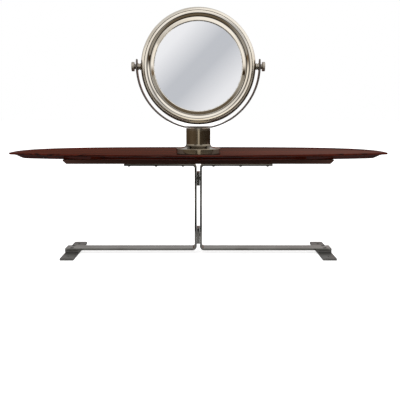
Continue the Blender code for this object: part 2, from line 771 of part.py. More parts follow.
def pivot(side, axis, rim):
    """Stud, spacing boss and fibre washer on one side of the drum."""
    strip_inner = YOKE_RADIUS - YOKE_THICKNESS / 2
    strip_outer = YOKE_RADIUS + YOKE_THICKNESS / 2
    bore = STUD_RADIUS + GAP
    boss = tube_profile(bore, BOSS_RADIUS, HEAD_RADIUS + GAP, strip_inner - 0.5 * MM)
    mesh = turned_mesh(boss, ring=True)
    add_part(f"pivot_boss_{side}", mesh, NICKEL, axis)
    stud = cylinder_profile(STUD_RADIUS, STUD_INNER, STUD_OUTER)
    add_part(f"pivot_stud_{side}", turned_mesh(stud), DARK_STEEL, axis)
    low = strip_outer + GAP
    washer = tube_profile(bore, 6 * MM, low, low + 1 * MM)
    add_part(f"fibre_washer_{side}", turned_mesh(washer, ring=True), FIBRE, axis)
    hole = cylinder_profile(bore, STUD_INNER - GAP, STUD_OUTER)
    cut(rim, [add_cutter(f"stud_hole_{side}", turned_mesh(hole), axis)])
    return low + 1 * MM + GAP


def knob(side, axis, inner):
    """A thumb knob with a neck and a blind threaded hole."""
    disc = KNOB_OUTER - KNOB_THICKNESS
    edge = 1 * MM
    bore = STUD_RADIUS + GAP
    bore_end = STUD_OUTER + GAP
    profile = [
        (0.0, KNOB_OUTER),
        (KNOB_RADIUS - edge, KNOB_OUTER),
        (KNOB_RADIUS, KNOB_OUTER - edge),
        (KNOB_RADIUS, disc + edge),
        (KNOB_RADIUS - edge, disc),
        (KNOB_NECK, disc),
        (KNOB_NECK, inner),
        (bore, inner),
        (bore, bore_end),
        (0.0, bore_end),
    ]
    add_part(f"knob_{side}", turned_mesh(profile), NICKEL, axis)


def mirror_head(head):
    face = empty("head_face", head, rotation=(math.pi / 2, 0, 0))
    disc, bezel, rim, cover = head_layers(face)
    back_screws(face, (disc, bezel, rim, cover))
    for side, sign in mirrored_sides():
        axis = empty(f"knob_{side}_axis", head, rotation=(0, sign * math.pi / 2, 0))
        inner = pivot(side, axis, rim)
        knob(side, axis, inner)


def build():
    stem = empty("stem_axis", location=(0, STEM_Y, 0))
    post = empty("post_axis", stem)
    swivel = empty("yoke_axis", post, (0, 0, CAP_TOP))
    head = empty("head_axis", swivel, (0, 0, PIVOT_Z - CAP_TOP))
    bars = bracket(stem)
    board = shelf_board(stem)
    batten = shelf_batten(stem)
    flange_screws(stem, bars, batten, board)
    pedestal_assembly(stem, board)
    post_assembly(post)
    yoke(swivel, head)
    mirror_head(head)


clear_scene()
PARTS = new_collection("shaving_mirror")
CUTTERS = new_collection("cutters")
build()
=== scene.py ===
"""Looks of the extendable shaving mirror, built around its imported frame.

Nodes whose shape is right stay, with bevels and procedural materials.
Frame: +X to the right, -Y to the front, +Z up. All lengths are in metres.
"""

import math
import random

import bmesh
import bpy
from mathutils import Matrix, Vector


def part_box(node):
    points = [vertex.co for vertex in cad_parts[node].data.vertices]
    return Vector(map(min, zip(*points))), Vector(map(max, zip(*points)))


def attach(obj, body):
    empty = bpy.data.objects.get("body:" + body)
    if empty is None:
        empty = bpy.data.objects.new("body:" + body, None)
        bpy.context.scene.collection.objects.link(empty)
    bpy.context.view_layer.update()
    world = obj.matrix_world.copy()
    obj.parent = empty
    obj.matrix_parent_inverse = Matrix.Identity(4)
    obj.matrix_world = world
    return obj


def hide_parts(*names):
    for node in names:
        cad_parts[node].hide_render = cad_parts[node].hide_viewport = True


MM = 0.001
GAP = 0.3 * MM

# Directions that turned pieces are aimed along
UP = Vector((0, 0, 1))
DOWN = Vector((0, 0, -1))
FRONT = Vector((0, -1, 0))
BACK = Vector((0, 1, 0))
RIGHT = Vector((1, 0, 0))
LEFT = Vector((-1, 0, 0))
SIDES = (("left", LEFT), ("right", RIGHT))

# Facets round a full turn
FINE = 192
MEDIUM = 96
SMALL = 40

# Camera: a 50 mm lens straight ahead, a little higher than the pedestal and looking down slightly
CAMERA_X = 4 * MM
CAMERA_AHEAD = 1.310  # in front of the stem
CAMERA_HEIGHT = 0.3506
CAMERA_PITCH = 9.55  # degrees downward
LENS = 50
SENSOR = 36

# Mirror head, heights measured forward from the pivot
DRUM_FRONT = 11 * MM
SHOULDER_TILT = 22  # degrees, where the drum's round shoulder starts
SCRIBED_LINE = 0.25 * MM  # depth of the line round the drum near its back
WEB_INNER = 112 * MM
GLASS_SEEN = 100.8 * MM
OVER_GLASS = 6.3 * MM
HOLLOW_RADIUS = 109.2 * MM  # the deepest circle of the front ring
HOLLOW_DEPTH = 3.3 * MM  # behind its land
LAND_RADIUS = 116.7 * MM  # the front ring's flat land begins here
DOME_RADIUS = 108 * MM
DOME_DEPTH = 4 * MM
CREASE_RADIUS = 110 * MM  # pressed round the dome's foot
FLAT_RADIUS = 112 * MM  # the back cover is flat from here to its edge
STUD_BORE = 3 * MM
BOSS_WAIST = 1.6 * MM
KNOB_DISC = 6.3 * MM  # thickness of the knurled part
KNOB_NECK = 5.5 * MM
KNOB_BORE_END = 150.3 * MM  # from the pivot, along the stud
KNURLS = 36
KNURL_DEPTH = 0.022  # as a share of the radius
KNURL_STEPS = 8 * KNURLS

# Yoke, pedestal and post
YOKE_THICKNESS = 3.2 * MM
TUBE_RADIUS = 28.5 * MM
TUBE_BORE = 25 * MM
FLANGE_HEIGHT = 11.4 * MM
COVE_RADIUS = 8 * MM
COVE_LIFT = 2.2 * MM  # the hollow curve's foot, above the flange
POST_SCREW_BORE = 3.3 * MM
POST_BORE = 11 * MM
POST_HEAD = 12 * MM  # solid end of the post's tube
POST_NECK = 8.8 * MM  # turned down over this length for the guide ring
POST_NECK_STEP = 2 * MM

# Patina and painted shade gathered in grooves round a piece's axis: (radius, half width)
RING_GROOVES = ((110.6 * MM, 1.5 * MM), (117.3 * MM, 0.9 * MM))
COVE_GROOVE = ((31.6 * MM, 3.2 * MM),)

# Shelf outline, seen from above
SHELF_TIP_FROM_STEM = 10 * MM
SHELF_BACK_POWER = 3.0
SHELF_FRONT_POWER = 0.85
LIP_WIDTH = 6 * MM
LIP_HEIGHT = 10.4 * MM  # of the lip's lower edge, above the shelf's underside
TRAY_DEPTH = 1.5 * MM
UNDERCUT = 22 * MM

# Bracket
BAR_THICKNESS = 5 * MM
BAR_BEND = 7.5 * MM
BAR_EASE = 0.6 * MM
STEM_GAP = 7.5 * MM
FLANGE_PAST_SCREW = 10 * MM
FOOT_CORNER = 6 * MM
FOOT_EASE = 0.5 * MM
FIXING_BEHIND = 70 * MM  # holes for fixing the foot plates, from the stem
FIXING_AHEAD = 50 * MM
RIVET_SHANK = 2.5 * MM

# Round-headed screws: head radius, head height, shank radius
BACK_SCREW = (2.8 * MM, 1.8 * MM, 1.4 * MM)
FLANGE_SCREW = (3.8 * MM, 3.2 * MM, 1.9 * MM)
PEDESTAL_SCREW = (3.6 * MM, 2.4 * MM, 1.9 * MM)

# Countersunk screws and the holes for them: head radius, shank radius
FOOT_SCREW = (4.4 * MM, 2.2 * MM)
FOOT_SINK = (4.7 * MM, 2.5 * MM)
SWIVEL_SCREW = (5.4 * MM, 3.0 * MM)
SWIVEL_SINK = (5.7 * MM, 3.3 * MM)
FIXING_SINK = (5.0 * MM, 2.7 * MM)
RIVET_SINK = (4.5 * MM, 2.8 * MM)

# Plain holes
BACK_SCREW_HOLE = 1.7 * MM
FLANGE_SCREW_HOLE = 2.2 * MM
FOOT_SCREW_HOLE = 2.5 * MM
FIXING_HOLE = 2.2 * MM
GRUB_HOLE = 2 * MM

# Colours: the bright and the dull side of a metal, two shades of anything else
NICKEL = ((0.9, 0.835, 0.73), (0.8, 0.71, 0.58))
PEDESTAL_NICKEL = ((0.36, 0.31, 0.24), (0.27, 0.22, 0.155))
STRIP_NICKEL = ((0.17, 0.155, 0.14), (0.1, 0.09, 0.08))
KNOB_NICKEL = ((0.5, 0.45, 0.38), (0.3, 0.26, 0.21))
BAR_STEEL = ((0.29, 0.285, 0.265), (0.2, 0.19, 0.17))
FOOT_STEEL = ((0.23, 0.225, 0.215), (0.15, 0.145, 0.13))
SCREW_STEEL = ((0.05, 0.048, 0.045), (0.025, 0.023, 0.022))
# Colour of the patina and painted shade in the grooves
PATINA_AND_SHADE = (0.04, 0.028, 0.016)
ROSEWOOD = ((0.085, 0.0115, 0.0045), (0.026, 0.0038, 0.0018))
BATTEN_WOOD = ((0.014, 0.004, 0.003), (0.006, 0.002, 0.0015))
# Colour of wood edges: wear and a painted highlight
EDGE_WEAR_AND_HIGHLIGHT = (0.32, 0.17, 0.13)
HARDBOARD = ((0.14, 0.085, 0.05), (0.22, 0.14, 0.085))
FELT = ((0.03, 0.04, 0.032), (0.06, 0.075, 0.06))
NYLON = ((0.78, 0.76, 0.69), (0.86, 0.84, 0.78))
FIBRE = ((0.06, 0.03, 0.022), (0.1, 0.05, 0.035))
SILVER = (0.94, 0.945, 0.95)
AGED_SILVER = (0.55, 0.54, 0.5)

FINEST_LINE = 0.001 * MM  # depth of polishing lines
SHARP_ANGLE = 32  # degrees; edges above it stay sharp

# Studio
FLOOR_HALF = 12
SHEET_HALF_X = 0.7
SHEET_AHEAD = 0.26  # of the stem
SHEET_BACK = 0.5
GROUND_DARK = (0.01, 0.009, 0.008)
GROUND_BROWN = (0.13, 0.105, 0.075)
GROUND_PALE = (0.6, 0.58, 0.54)
GROUND_GREY = (0.34, 0.33, 0.31)
FAR_STRIPE = (1.0, 0.95, 0.85)
FAR_BACK = (0.5, 0.45, 0.38)
SIDE_BACK = (0.16, 0.07, 0.05)
SIDE_WARM = (0.34, 0.2, 0.17)

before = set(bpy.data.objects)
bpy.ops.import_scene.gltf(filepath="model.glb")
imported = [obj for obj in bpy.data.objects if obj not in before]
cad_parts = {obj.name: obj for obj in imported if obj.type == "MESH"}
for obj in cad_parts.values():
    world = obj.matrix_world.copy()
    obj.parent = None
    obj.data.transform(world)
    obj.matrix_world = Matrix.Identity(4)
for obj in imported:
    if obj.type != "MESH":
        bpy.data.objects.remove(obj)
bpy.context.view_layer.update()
random.seed(7)


# ---------------- places


def middle(node):
    low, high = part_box(node)
    return (low + high) / 2


def extent(node):
    low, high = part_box(node)
    return high - low


STEM_Y = middle("pedestal").y
STEM = Vector((0, STEM_Y, 0))
PIVOT = Vector((0, STEM_Y, middle("mirror_rim").z))


def upright(node):
    """A round node's lowest and highest level, and its radius."""
    low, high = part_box(node)
    return low.z, high.z, (high.x - low.x) / 2


def forward(node):
    """A round node's back and front, measured forward from the pivot, and its radius."""
    low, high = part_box(node)
    return STEM_Y - high.y, STEM_Y - low.y, (high.x - low.x) / 2


def outward(node):
    """A round node's inner and outer end, measured sideways from the middle, and its radius."""
    low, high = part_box(node)
    inner, outer = sorted((abs(low.x), abs(high.x)))
    return inner, outer, (high.z - low.z) / 2


# ---------------- shader graphs


class Graph:
    """Adds nodes to a shader tree. A value is a number, a tuple or another node's output."""

    def __init__(self, tree):
        self.tree = tree

    def add(self, kind, values, output=0, **settings):
        made = self.tree.nodes.new("ShaderNode" + kind)
        for key, value in settings.items():
            setattr(made, key, value)
        for key, value in values.items():
            if isinstance(value, bpy.types.NodeSocket):
                self.tree.links.new(value, made.inputs[key])
            else:
                made.inputs[key].default_value = value
        return made.outputs[output]

    def math(self, operation, first, second=0.0):
        return self.add("Math", {0: first, 1: second}, operation=operation)

    def plus(self, first, second):
        return self.math("ADD", first, second)

    def minus(self, first, second):
        return self.math("SUBTRACT", first, second)

    def times(self, first, second):
        return self.math("MULTIPLY", first, second)

    def clamp_range(self, value, low, high, to_low=0.0, to_high=1.0):
        values = {0: value, 1: low, 2: high, 3: to_low, 4: to_high}
        return self.add("MapRange", values, interpolation_type="SMOOTHSTEP")

    def split(self, vector):
        made = self.tree.nodes.new("ShaderNodeSeparateXYZ")
        self.tree.links.new(vector, made.inputs[0])
        return made.outputs

    def local(self):
        return self.add("TexCoord", {}, output=3)

    def radius(self):
        """Distance from the piece's own Z axis."""
        x, y, _ = self.split(self.local())
        return self.math("SQRT", self.plus(self.math("POWER", x, 2.0), self.math("POWER", y, 2.0)))

    def scaled(self, vector, scale):
        return self.add("VectorMath", {0: vector, 1: scale}, operation="MULTIPLY")

    def noise(self, vector, scale, detail=3.0, roughness=0.55, distortion=0.0):
        values = {
            "Vector": vector,
            "Scale": scale,
            "Detail": detail,
            "Roughness": roughness,
            "Distortion": distortion,
        }
        return self.add("TexNoise", values)

    def ramp(self, value, *stops):
        """stops are (position, grey or colour), in rising order."""
        made = self.tree.nodes.new("ShaderNodeValToRGB")
        points = made.color_ramp.elements
        while len(points) < len(stops):
            points.new(1.0)
        for point, (position, shade) in zip(points, stops):
            point.position = position
            point.color = (*shade, 1) if isinstance(shade, tuple) else (shade, shade, shade, 1)
        self.tree.links.new(value, made.inputs[0])
        return made.outputs[0]

    def mix(self, factor, first, second):
        first = (*first, 1) if isinstance(first, tuple) else first
        second = (*second, 1) if isinstance(second, tuple) else second
        return self.add("Mix", {0: factor, 6: first, 7: second}, output=2, data_type="RGBA")

    def bump(self, height, depth, normal=None):
        values = {"Height": height, "Distance": depth, "Strength": 1.0}
        if normal is not None:
            values["Normal"] = normal
        return self.add("Bump", values)

    def edges(self, low, high):
        """1 on convex edges, 0 elsewhere, from the mesh's own curvature."""
        made = self.tree.nodes.new("ShaderNodeNewGeometry")
        return self.clamp_range(made.outputs["Pointiness"], low, high)


def principled(name, **constants):
    """A material with its constants set on the shader's own sockets."""
    made = bpy.data.materials.new(name)
    made.use_nodes = True
    shader = made.node_tree.nodes["Principled BSDF"]
    for key, value in constants.items():
        shader.inputs[key.replace("_", " ")].default_value = value
    return made, Graph(made.node_tree), shader.inputs


def wire(graph, inputs, **links):
    for key, value in links.items():
        graph.tree.links.new(value, inputs[key.replace("_", " ")])


def turned_lines(graph, density):
    """Fine lines round the piece's own Z, as a lathe tool or a polishing wheel leaves them."""
    line = graph.add("CombineXYZ", {0: graph.radius(), 1: graph.split(graph.local())[2], 2: 0.0})
    return graph.noise(line, density, detail=4.0, roughness=0.7)


def drawn_lines(graph, density):
    """Fine lines along a strip that is bent in the XZ plane."""
    stretched = graph.scaled(graph.local(), (0.02, 1.0, 0.02))
    return graph.noise(stretched, density, detail=4.0, roughness=0.75)


def groove_patina_and_shade(graph, grooves):
    """Share of dark patina and painted shade gathered in grooves round the piece's own Z: (radius,
    half width).
    """
    radius = graph.radius()
    total = 0.0
    for middle_radius, half_width in grooves:
        away = graph.math("ABSOLUTE", graph.minus(radius, middle_radius))
        here = graph.clamp_range(away, 0.6 * half_width, half_width, 1.0, 0.0)
        total = graph.math("MAXIMUM", here, total)
    return total


def metal(name, colours, roughness, lines, density, depth, grooves=()):
    """Metal with fine lines, cloudy tarnish, finger marks, thin scratches and brighter edges."""
    bright, dull = colours
    made, graph, inputs = principled(name, Metallic=1.0)
    local = graph.local()
    grain = lines(graph, density)
    clouds = graph.noise(local, 14.0, detail=5.0, distortion=0.6)
    marks = graph.noise(local, 45.0, detail=3.0, distortion=1.5)
    scratch = graph.noise(graph.scaled(local, (1.0, 0.06, 0.5)), 900.0, detail=2.0, roughness=0.8)
    scratched = graph.clamp_range(scratch, 0.68, 0.74, 0.0, 0.5)
    tarnish = graph.clamp_range(clouds, 0.42, 0.75)
    colour = graph.mix(tarnish, bright, dull)
    colour = graph.mix(graph.edges(0.52, 0.6), colour, bright)
    # Grooves darkened with patina and painted shade, which stands in for the dark reflections in the
    # hollows
    if grooves:
        uneven = graph.clamp_range(clouds, 0.3, 0.7, 0.75, 0.92)
        patina_and_shade = graph.times(groove_patina_and_shade(graph, grooves), uneven)
        colour = graph.mix(patina_and_shade, colour, PATINA_AND_SHADE)
    sheen = graph.clamp_range(grain, 0.2, 0.8, 0.75 * roughness, 1.25 * roughness)
    smudged = graph.plus(sheen, graph.clamp_range(marks, 0.5, 0.8, 0.0, 0.03))
    worn = graph.plus(smudged, graph.times(scratched, 0.1))
    normal = graph.bump(grain, depth)
    normal = graph.bump(scratched, -0.4 * depth, normal)
    wire(graph, inputs, Base_Color=colour, Roughness=worn, Normal=normal)
    return made


def wood(name, colours, gloss, bump_depth):
    """Figured wood along X: broad bands, dark veins, fine pores and a thin satin lacquer."""
    light, dark = colours
    made, graph, inputs = principled(name, Coat_Weight=gloss, Coat_Roughness=0.06)
    inputs["Specular IOR Level"].default_value = 0.0
    local = graph.local()
    bands = graph.noise(graph.scaled(local, (0.9, 14.0, 14.0)), 1.0, detail=5.0, distortion=1.2)
    veins = graph.noise(graph.scaled(local, (2.2, 70.0, 70.0)), 1.0, detail=6.0, distortion=1.8)
    pores = graph.noise(graph.scaled(local, (30.0, 900.0, 900.0)), 1.0, detail=2.0)
    colour = graph.ramp(bands, (0.3, dark), (0.52, light), (0.7, tuple(1.35 * c for c in light)))
    vein = graph.ramp(veins, (0.36, 1.0), (0.46, 0.15), (0.56, 0.0), (0.66, 0.45))
    colour = graph.mix(vein, colour, tuple(0.45 * c for c in dark))
    pore = graph.clamp_range(pores, 0.62, 0.72)
    colour = graph.mix(graph.times(pore, 0.5), colour, tuple(0.4 * c for c in dark))
    # Convex edges lightened: wear and a painted highlight along the lip's edges
    edge_wear_and_highlight = graph.times(graph.edges(0.52, 0.62), 0.6)
    colour = graph.mix(edge_wear_and_highlight, colour, EDGE_WEAR_AND_HIGHLIGHT)
    rough = graph.clamp_range(bands, 0.2, 0.8, 0.36, 0.5)
    normal = graph.bump(pore, -bump_depth)
    normal = graph.bump(veins, 0.4 * bump_depth, normal)
    wire(graph, inputs, Base_Color=colour, Roughness=rough, Normal=normal)
    return made


def silvered_glass():
    """Mirror glass: a clean silver layer with wipe marks, dust and a slightly darker rim."""
    constants = {"Metallic": 1.0, "Coat_Weight": 0.3, "Coat_Roughness": 0.01}
    made, graph, inputs = principled("silvered_glass", **constants)
    local = graph.local()
    wipes = graph.noise(graph.scaled(local, (1.0, 0.25, 1.0)), 30.0, detail=4.0, distortion=2.0)
    dust = graph.clamp_range(graph.noise(local, 1400.0, detail=1.0), 0.74, 0.78)
    speckled = graph.noise(local, 220.0, detail=3.0)
    near_rim = graph.clamp_range(graph.radius(), 98.5 * MM, 101.2 * MM)
    aged = graph.times(near_rim, graph.clamp_range(speckled, 0.45, 0.6))
    colour = graph.mix(aged, SILVER, AGED_SILVER)
    rough = graph.clamp_range(wipes, 0.5, 0.8, 0.012, 0.045)
    rough = graph.plus(rough, graph.times(dust, 0.2))
    wire(graph, inputs, Base_Color=colour, Roughness=rough)
    return made


def soft_solid(name, colours, roughness, scale, depth):
    """Felt, nylon, fibre or board: mottled colour and a fine matt texture."""
    made, graph, inputs = principled(name)
    inputs["Specular IOR Level"].default_value = 0.3
    local = graph.local()
    mottle = graph.noise(local, scale / 8, detail=4.0)
    fine = graph.noise(local, scale, detail=3.0, roughness=0.7)
    blend = graph.plus(graph.times(mottle, 0.6), graph.times(fine, 0.4))
    shade = graph.ramp(blend, (0.35, colours[0]), (0.65, colours[1]))
    rough = graph.clamp_range(fine, 0.3, 0.7, roughness - 0.06, roughness + 0.06)
    wire(graph, inputs, Base_Color=shade, Roughness=rough, Normal=graph.bump(fine, depth))
    return made


def make_finishes():
    fine = FINEST_LINE
    return {
        "polished": metal("nickel_polished", NICKEL, 0.06, turned_lines, 2600.0, fine, RING_GROOVES),
        "satin": metal("nickel_satin", NICKEL, 0.2, turned_lines, 1800.0, 2 * fine),
        "pedestal": metal(
            "nickel_pedestal", PEDESTAL_NICKEL, 0.1, turned_lines, 2200.0, fine, COVE_GROOVE
        ),
        "strip": metal("nickel_strip", STRIP_NICKEL, 0.2, drawn_lines, 2200.0, fine),
        "knob": metal("nickel_knob", KNOB_NICKEL, 0.2, turned_lines, 2200.0, fine),
        "cover": metal("nickel_cover", NICKEL, 0.3, turned_lines, 900.0, 4 * fine),
        "steel": metal("bracket_steel", BAR_STEEL, 0.1, drawn_lines, 1500.0, fine),
        "feet": metal("foot_steel", FOOT_STEEL, 0.36, drawn_lines, 1500.0, 4 * fine),
        "screw": metal("screw_steel", SCREW_STEEL, 0.5, turned_lines, 1500.0, 3 * fine),
        "rosewood": wood("rosewood", ROSEWOOD, 0.35, 0.006 * MM),
        "dark_wood": wood("dark_wood", BATTEN_WOOD, 0.05, 0.05 * MM),
        "hardboard": soft_solid("hardboard", HARDBOARD, 0.8, 900.0, 0.03 * MM),
        "felt": soft_solid("felt", FELT, 0.92, 1600.0, 0.15 * MM),
        "nylon": soft_solid("nylon", NYLON, 0.45, 500.0, 0.01 * MM),
        "fibre": soft_solid("fibre", FIBRE, 0.75, 1100.0, 0.03 * MM),
        "glass": silvered_glass(),
    }


FINISH = make_finishes()


# ---------------- mesh tools


def rounded(corners, closed=True, steps=4):
    """Corners (u, v, radius) joined by straight lines, with each corner eased over its radius."""
    points = []
    count = len(corners)
    for i, (u, v, radius) in enumerate(corners):
        at_end = not closed and i in (0, count - 1)
        if radius == 0 or at_end:
            points.append((u, v))
            continue
        corner = Vector((u, v))
        ends = []
        for other in (corners[i - 1], corners[(i + 1) % count]):
            way = Vector(other[:2]) - corner
            ends.append(corner + way.normalized() * min(radius, 0.48 * way.length))
        for k in range(steps + 1):
            t = k / steps
            point = ends[0] * (1 - t) ** 2 + corner * (2 * t * (1 - t)) + ends[1] * t**2
            points.append(tuple(point))
    return points


def arc(centre_u, centre_v, radius, start, end, steps):
    angles = [math.radians(start + (end - start) * i / steps) for i in range(steps + 1)]
    return [(centre_u + radius * math.cos(a), centre_v + radius * math.sin(a)) for a in angles]


def sharp(points):
    """Profile points that need no easing."""
    return [(u, v, 0.0) for u, v in points]


def finished(name, bm, finish, sharp_angle=SHARP_ANGLE):
    """Turns a bmesh into an object that is smooth except across sharp edges."""
    bmesh.ops.remove_doubles(bm, verts=bm.verts, dist=1e-7)
    bmesh.ops.recalc_face_normals(bm, faces=bm.faces)
    mesh = bpy.data.meshes.new(name)
    bm.to_mesh(mesh)
    bm.free()
    mesh.shade_smooth()
    mesh.set_sharp_from_angle(angle=math.radians(sharp_angle))
    mesh.materials.append(FINISH[finish])
    made = bpy.data.objects.new(name, mesh)
    bpy.context.scene.collection.objects.link(made)
    return made


def skin(bm, rings, close_round=True, close_along=False):
    """Joins equal rings of vertices with quads."""
    count = len(rings[0])
    pairs = list(zip(rings, rings[1:]))
    if close_along:
        pairs.append((rings[-1], rings[0]))
    last = count if close_round else count - 1
    for before, after in pairs:
        for i in range(last):
            j = (i + 1) % count
            bm.faces.new((before[i], before[j], after[j], after[i]))


def aimed(place, aim):
    """Moves a piece to place and turns its +Z along aim."""
    return Matrix.Translation(place) @ aim.to_track_quat("Z", "Y").to_matrix().to_4x4()


def turned(name, corners, finish, place, aim, steps=MEDIUM, ring=True, easing=4, wobble=None):
    """A body of revolution about its own +Z, set down at place with +Z along aim.

    corners are (radius, height, easing radius), and a ring has a hole along its axis.
    wobble(angle, radius) may scale the radius, for knurls."""
    profile = rounded(corners, closed=ring, steps=easing)
    bm = bmesh.new()
    rings = []
    for i in range(steps):
        a = 2 * math.pi * i / steps
        points = []
        for radius, height in profile:
            reach = radius * (wobble(a, radius) if wobble else 1.0)
            points.append(bm.verts.new((reach * math.cos(a), reach * math.sin(a), height)))
        rings.append(points)
    skin(bm, rings, close_round=ring, close_along=True)
    bmesh.ops.dissolve_degenerate(bm, dist=1e-8, edges=bm.edges)
    made = finished(name, bm, finish)
    made.matrix_world = aimed(place, aim)
    return made


def section(thickness, half_width, edge):
    """A strip's rounded section: u through its thickness, v across its width."""
    t = thickness / 2
    e = min(edge, 0.48 * thickness)
    corners = [(-t, -half_width, e), (t, -half_width, e), (t, half_width, e), (-t, half_width, e)]
    return rounded(corners)


def strip(name, stations, thickness, edge, finish):
    """A strip bent in the XZ plane about the stem. Each station is (x, z, half width)."""
    bm = bmesh.new()
    rings = []
    last = len(stations) - 1
    ends = {0: edge, last: edge}
    for k, (x, z, half) in enumerate(stations):
        before = Vector(stations[max(k - 1, 0)][:2])
        after = Vector(stations[min(k + 1, last)][:2])
        along = (after - before).normalized()
        across = Vector((-along.y, along.x))
        inset = ends.get(k, 0.0)
        ring = []
        for u, v in section(thickness - 2 * inset, half - inset, edge):
            ring.append(bm.verts.new((x + across.x * u, v, z + across.y * u)))
        rings.append(ring)
    skin(bm, rings)
    bm.faces.new(rings[0])
    bm.faces.new(rings[-1])
    made = finished(name, bm, finish)
    made.location = STEM
    return made


def lofted(name, rings, finish, place, sharp_angle=SHARP_ANGLE):
    """A closed body through equal rings of points, capped at both ends."""
    bm = bmesh.new()
    loops = [[bm.verts.new(point) for point in ring] for ring in rings]
    skin(bm, loops)
    bm.faces.new(loops[0])
    bm.faces.new(loops[-1])
    made = finished(name, bm, finish, sharp_angle)
    made.location = place
    return made


def apply_modifiers(obj):
    bpy.context.view_layer.update()
    graph = bpy.context.evaluated_depsgraph_get()
    baked = bpy.data.meshes.new_from_object(obj.evaluated_get(graph))
    obj.modifiers.clear()
    obj.data = baked


def cut(obj, cutters):
    """Takes the cutters' shapes out of obj."""
    for cutter in cutters:
        step = obj.modifiers.new("cut", "BOOLEAN")
        step.operation = "DIFFERENCE"
        step.solver = "EXACT"
        step.object = cutter
    apply_modifiers(obj)
    for cutter in cutters:
        bpy.data.objects.remove(cutter)
    obj.data.set_sharp_from_angle(angle=math.radians(SHARP_ANGLE))


def drilled(obj, holes):
    """Cuts turned holes (profile, place, aim) out of obj."""
    cutters = []
    for profile, place, aim in holes:
        cutter = turned("cutter", sharp(profile), "steel", place, aim, steps=SMALL, ring=False)
        cutters.append(cutter)
    cut(obj, cutters)


def eased(obj, width):
    """Rounds a carried-over node's sharp edges with modifiers, and leaves its mesh alone."""
    weld = obj.modifiers.new("weld", "WELD")
    weld.merge_threshold = 0.02 * MM
    bevel = obj.modifiers.new("ease", "BEVEL")
    bevel.width = width
    bevel.segments = 2
    bevel.limit_method = "ANGLE"
    bevel.angle_limit = math.radians(40)


def stand_in(obj, body, node):
    """obj rides on body and stands for the CAD node, which it hides."""
    flat = obj.modifiers.new("flat_faces", "WEIGHTED_NORMAL")
    flat.keep_sharp = True
    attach(obj, body)
    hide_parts(node)


def countersink(sink, above, below):
    """A cutter's profile whose 45 degree cone is head wide at height 0."""
    head, shank = sink
    return [
        (0.0, above),
        (head + above, above),
        (shank, shank - head),
        (shank, -below),
        (0.0, -below),
    ]


def plain_hole(radius, bottom, top):
    """A cutter's profile for a straight hole from bottom to top."""
    return [(0.0, top), (radius, top), (radius, bottom), (0.0, bottom)]


def over(node, height):
    """The point at a height on a node's vertical axis."""
    centre = middle(node)
    return Vector((centre.x, centre.y, height))


# ---------------- screws


def slotted(obj, radius, top, width, depth, aim, place):
    """Cuts a screwdriver slot across a screw's head, turned to a different angle each time."""
    bm = bmesh.new()
    bmesh.ops.create_cube(bm, size=1.0)
    size = Matrix.Diagonal((4 * radius, width, 2 * depth, 1))
    spin = Matrix.Rotation(random.uniform(0, math.pi), 4, "Z")
    bm.transform(Matrix.Translation((0, 0, top)) @ spin @ size)
    cutter = finished("cutter", bm, "screw")
    cutter.matrix_world = aimed(place, aim)
    cut(obj, [cutter])


def head_end(node, aim, drop=0.0):
    """A CAD screw's length along aim, and the point on its axis that is drop below its head's end."""
    low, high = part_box(node)
    end = high if aim.dot(Vector((1, 1, 1))) > 0 else low
    centre = middle(node)
    place = centre - aim * centre.dot(aim) + aim * (end.dot(aim) - drop)
    return abs((high - low).dot(aim)), place


def round_screw(node, sizes, aim, body):
    """A round-headed slotted screw over a CAD screw whose head points along aim."""
    head, height, shank = sizes
    length, place = head_end(node, aim, height)
    dome = [(head * u, height * v) for u, v in arc(0, 0, 1.0, 0, 90, 9)]
    profile = [(0.0, height - length), (shank, height - length), (shank, 0.0), *dome]
    made = turned(node + "_fine", sharp(profile), "screw", place, aim, steps=SMALL, ring=False)
    slotted(made, head, height, 0.28 * head, 0.45 * height, aim, place)
    stand_in(made, body, node)


def sunk_screw(node, sizes, aim, body):
    """A countersunk slotted screw over a CAD screw whose head points along aim."""
    head, shank = sizes
    length, place = head_end(node, aim)
    corners = [
        (0.0, 0.0, 0.0),
        (head, 0.0, 0.15 * MM),
        (shank, shank - head, 0.4 * MM),
        (shank, -length, 0.2 * MM),
        (0.0, -length, 0.0),
    ]
    made = turned(node + "_fine", corners, "screw", place, aim, steps=SMALL, ring=False)
    slotted(made, head, 0.0, 0.25 * head, 0.28 * head, aim, place)
    stand_in(made, body, node)


# ---------------- mirror head


def rim():
    """The drum: a round shoulder in front, a straight side, a rolled back edge and a web inside."""
    back, _, radius = forward("mirror_rim")
    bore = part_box("mirror_bezel")[1].x + 0.7 * MM
    start = math.radians(SHOULDER_TILT)
    sweep = (radius - bore - 0.2 * MM) / (1 - math.sin(start))
    top = DRUM_FRONT - sweep * math.cos(start)
    shoulder = arc(radius - sweep, top, sweep, 90 - SHOULDER_TILT, 0, 18)
    corners = [
        (bore, 9.6 * MM, 0.0),
        (bore, 10.6 * MM, 0.3 * MM),
        *sharp(shoulder),
        (radius, back + 6 * MM, 0.0),
        (radius - SCRIBED_LINE, back + 5.7 * MM, 0.0),
        (radius - SCRIBED_LINE, back + 5.2 * MM, 0.0),
        (radius, back + 4.9 * MM, 0.0),
        (radius, back, 2.2 * MM),
        (bore, back, 0.5 * MM),
        (bore, back + 2.5 * MM, 0.3 * MM),
        (WEB_INNER, back + 2.5 * MM, 0.3 * MM),
        (WEB_INNER, back + 6.5 * MM, 0.3 * MM),
        (bore, back + 6.5 * MM, 0.3 * MM),
    ]
    made = turned("drum", corners, "satin", PIVOT, FRONT, steps=FINE)
    hole = plain_hole(STUD_BORE, -10 * MM, 10 * MM)
    drilled(made, [(hole, PIVOT + aim * radius, RIGHT) for _, aim in SIDES])
    stand_in(made, "head", "mirror_rim")


